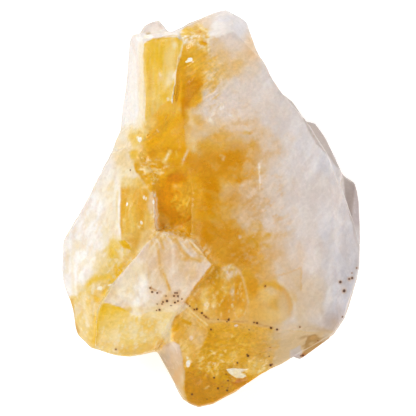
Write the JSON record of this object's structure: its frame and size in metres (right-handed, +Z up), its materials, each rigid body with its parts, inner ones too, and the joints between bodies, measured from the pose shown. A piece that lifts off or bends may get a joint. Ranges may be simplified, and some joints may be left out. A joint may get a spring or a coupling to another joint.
{
  "type": "citrine crystal point",
  "caption": "Rough natural citrine quartz point with a twin-peaked neck and intergrown faces, lying flat on its fractured back.",
  "frame": {"origin": "on the resting face, under the middle of the stone's bounding box", "axes": "+Z up out of the face that is seen in the picture; +Y from the broad lower point to the narrow twin-peaked neck; +X to the picture's right, towards the milky side"},
  "size_m": [0.0376, 0.05, 0.0187],
  "materials": {
    "citrine": "clear to milky honey-yellow quartz with glassy crystal faces and sugary fracture faces"
  },
  "bodies": {
    "root": {"citrine": "citrine"}
  },
  "joints": []
}
